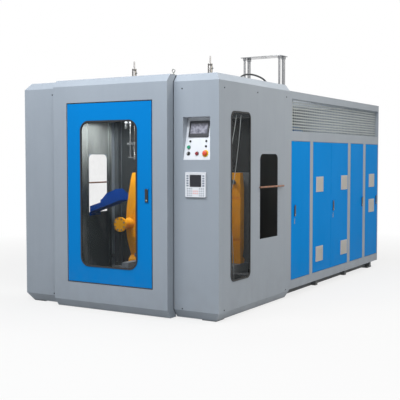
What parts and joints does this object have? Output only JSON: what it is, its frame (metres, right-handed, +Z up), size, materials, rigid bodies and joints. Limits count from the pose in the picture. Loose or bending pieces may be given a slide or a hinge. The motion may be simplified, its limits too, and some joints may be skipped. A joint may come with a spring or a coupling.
{
  "type": "blow moulding machine",
  "caption": "Enclosed two-station shuttle blow moulding machine with a glazed front door, a side control console and a long blue-doored rear cabinet.",
  "frame": {"origin": "middle of the four anchor holes, on the floor", "axes": "+X to the right seen from the front door, +Y from the front door to the rear along the machine, +Z up"},
  "size_m": [2.358, 4.523, 2.795],
  "materials": {
    "cover_paint": "textured powder coat, pale blue grey",
    "frame_paint": "satin grey paint",
    "door_blue": "smooth powder coat, bright blue",
    "cabinet_blue": "smooth powder coat, blue",
    "vent_plastic": "moulded light grey",
    "seal_rubber": "black moulded rubber",
    "tinted_glass": "clear pane seen against a dark inside",
    "lever_plastic": "black, fine grain",
    "white_console": "white powder coat",
    "dark_screen": "dark frame with a grey display",
    "platen_yellow": "ochre yellow enamel on a casting",
    "guide_steel": "ground steel",
    "bright_chrome": "hard chrome",
    "brown_steel": "browned round bar",
    "punched_sheet": "punched grey sheet",
    "barrel_steel": "machined and heat-stained steel",
    "drive_paint": "machine enamel",
    "rack_plastic": "grey moulded housings",
    "hopper_sheet": "folded stainless sheet",
    "column_steel": "polished round bar",
    "hose_rubber": "black smooth rubber cover",
    "green_plastic": "moulded green cap",
    "red_plastic": "moulded red cap",
    "key_metal": "turned metal with a key blade"
  },
  "bodies": {
    "machine": {"base_frame": "frame_paint", "blow_cylinders": "bright_chrome", "cabin_frame": "frame_paint", "cabin_rear_wall": "cover_paint", "cabinet_frame_left": "cover_paint", "cabinet_frame_right": "cover_paint", "die_head": "barrel_steel", "electrical_rack": "rack_plastic", "extruder_barrel": "barrel_steel", "extruder_drive": "drive_paint", "extruder_table": "frame_paint", "eye_bolt": "bright_chrome", "fixed_panels": "cover_paint", "front_centre_cover": "cover_paint", "front_left_cover": "cover_paint", "front_right_cover": "cover_paint", "guard_bars": "brown_steel", "hopper": "hopper_sheet", "hydraulic_hose": "hose_rubber", "hydraulic_unit": "drive_paint", "loader_stand": "column_steel", "mesh_panels": "punched_sheet", "operator_console": "white_console", "parison_controller": "white_console", "product_chute": "door_blue", "roof_sheets": "cover_paint", "shuttle_rails": "guide_steel", "side_cover_left": "cover_paint", "side_cover_right": "cover_paint", "side_window_glass": "tinted_glass", "side_window_seals": "seal_rubber", "touch_screen": "dark_screen"},
    "front_door": {"front_door_panel": "door_blue", "front_door_seal": "seal_rubber", "front_door_glass": "tinted_glass"},
    "front_door_lever": {"front_door_lever": "lever_plastic"},
    "first_leaf": {"first_door": "cabinet_blue"},
    "first_lever": {"first_lever": "lever_plastic"},
    "second_leaf": {"second_door": "cabinet_blue", "second_vents": "vent_plastic"},
    "third_leaf": {"third_door": "cabinet_blue", "third_vents": "vent_plastic"},
    "third_lever": {"third_lever": "lever_plastic"},
    "fourth_leaf": {"fourth_door": "cabinet_blue"},
    "fourth_lever": {"fourth_lever": "lever_plastic"},
    "fifth_leaf": {"fifth_door": "cabinet_blue", "fifth_vents": "vent_plastic"},
    "fifth_lever": {"fifth_lever": "lever_plastic"},
    "shuttle": {"shuttle_carriage": "frame_paint"},
    "left_front_mould_plate": {"left_front_platen": "platen_yellow"},
    "left_rear_mould_plate": {"left_rear_platen": "platen_yellow"},
    "right_front_mould_plate": {"right_front_platen": "platen_yellow"},
    "right_rear_mould_plate": {"right_rear_platen": "platen_yellow"},
    "left_blowing_pin": {"left_blow_pin": "guide_steel"},
    "right_blowing_pin": {"right_blow_pin": "guide_steel"},
    "green_push_button": {"green_button": "green_plastic"},
    "red_push_button": {"stop_button": "red_plastic"},
    "emergency_push_button": {"emergency_stop": "red_plastic"},
    "key_selector": {"key_switch": "key_metal"},
    "screw": {"extruder_screw": "barrel_steel"}
  },
  "joints": [
    {"name": "front_door_hinge", "type": "hinge", "parent": "machine", "child": "front_door", "pos_m": [-0.487, -2.29, 1.144], "axis": [0, 0, -1], "range_deg": [0, 105]},
    {"name": "front_lever_hinge", "type": "hinge", "parent": "front_door", "child": "front_door_lever", "pos_m": [0.448, -2.304, 1.194], "axis": [-1, 0, 0], "range_deg": [0, 40]},
    {"name": "first_door_hinge", "type": "hinge", "parent": "machine", "child": "first_leaf", "pos_m": [1.145, -0.147, 0.9], "axis": [0, 0, 1], "range_deg": [0, 90]},
    {"name": "first_lever_hinge", "type": "hinge", "parent": "first_leaf", "child": "first_lever", "pos_m": [1.158, -0.55, 0.98], "axis": [0, -1, 0], "range_deg": [0, 40]},
    {"name": "second_door_hinge", "type": "hinge", "parent": "machine", "child": "second_leaf", "pos_m": [1.145, -0.043, 0.9], "axis": [0, 0, -1], "range_deg": [0, 90]},
    {"name": "third_door_hinge", "type": "hinge", "parent": "machine", "child": "third_leaf", "pos_m": [1.145, 1.038, 0.9], "axis": [0, 0, 1], "range_deg": [0, 90]},
    {"name": "third_lever_hinge", "type": "hinge", "parent": "third_leaf", "child": "third_lever", "pos_m": [1.158, 0.56, 0.98], "axis": [0, -1, 0], "range_deg": [0, 40]},
    {"name": "fourth_door_hinge", "type": "hinge", "parent": "machine", "child": "fourth_leaf", "pos_m": [1.145, 1.15, 0.9], "axis": [0, 0, -1], "range_deg": [0, 90]},
    {"name": "fourth_lever_hinge", "type": "hinge", "parent": "fourth_leaf", "child": "fourth_lever", "pos_m": [1.158, 1.568, 0.98], "axis": [0, -1, 0], "range_deg": [0, 40]},
    {"name": "fifth_door_hinge", "type": "hinge", "parent": "machine", "child": "fifth_leaf", "pos_m": [1.145, 1.706, 0.9], "axis": [0, 0, -1], "range_deg": [0, 90]},
    {"name": "fifth_lever_hinge", "type": "hinge", "parent": "fifth_leaf", "child": "fifth_lever", "pos_m": [1.158, 2.12, 0.98], "axis": [0, -1, 0], "range_deg": [0, 40]},
    {"name": "shuttle_slide", "type": "slide", "parent": "machine", "child": "shuttle", "axis": [1, 0, 0], "range_m": [-0.48, 0]},
    {"name": "left_front_clamp", "type": "slide", "parent": "shuttle", "child": "left_front_mould_plate", "axis": [0, 1, 0], "range_m": [0, 0.14]},
    {"name": "left_rear_clamp", "type": "slide", "parent": "shuttle", "child": "left_rear_mould_plate", "axis": [0, 1, 0], "range_m": [-0.14, 0]},
    {"name": "right_front_clamp", "type": "slide", "parent": "shuttle", "child": "right_front_mould_plate", "axis": [0, 1, 0], "range_m": [0, 0.14]},
    {"name": "right_rear_clamp", "type": "slide", "parent": "shuttle", "child": "right_rear_mould_plate", "axis": [0, 1, 0], "range_m": [-0.14, 0]},
    {"name": "left_pin_stroke", "type": "slide", "parent": "machine", "child": "left_blowing_pin", "axis": [0, 0, 1], "range_m": [-0.18, 0]},
    {"name": "right_pin_stroke", "type": "slide", "parent": "machine", "child": "right_blowing_pin", "axis": [0, 0, 1], "range_m": [-0.18, 0]},
    {"name": "green_button_press", "type": "slide", "parent": "machine", "child": "green_push_button", "axis": [0, 0.9744, -0.225], "range_m": [0, 0.004], "stiffness_N_per_m": 800, "springref_m": -0.002},
    {"name": "red_button_press", "type": "slide", "parent": "machine", "child": "red_push_button", "axis": [0, 0.9744, -0.225], "range_m": [0, 0.004], "stiffness_N_per_m": 800, "springref_m": -0.002},
    {"name": "emergency_press", "type": "slide", "parent": "machine", "child": "emergency_push_button", "axis": [0, 0.9744, -0.225], "range_m": [0, 0.004], "stiffness_N_per_m": 1500, "springref_m": -0.003},
    {"name": "key_turn", "type": "hinge", "parent": "machine", "child": "key_selector", "pos_m": [0.824, -2.17273, 1.52549], "axis": [0, -0.9744, 0.225], "range_deg": [0, 90]},
    {"name": "screw_spin", "type": "hinge", "parent": "machine", "child": "screw", "pos_m": [0, 0.06, 1.8], "axis": [0, 1, 0], "continuous": true}
  ],
  "couplings": [
    {"joint": "left_rear_clamp", "follows": "left_front_clamp", "ratio": -1},
    {"joint": "right_rear_clamp", "follows": "right_front_clamp", "ratio": -1}
  ]
}
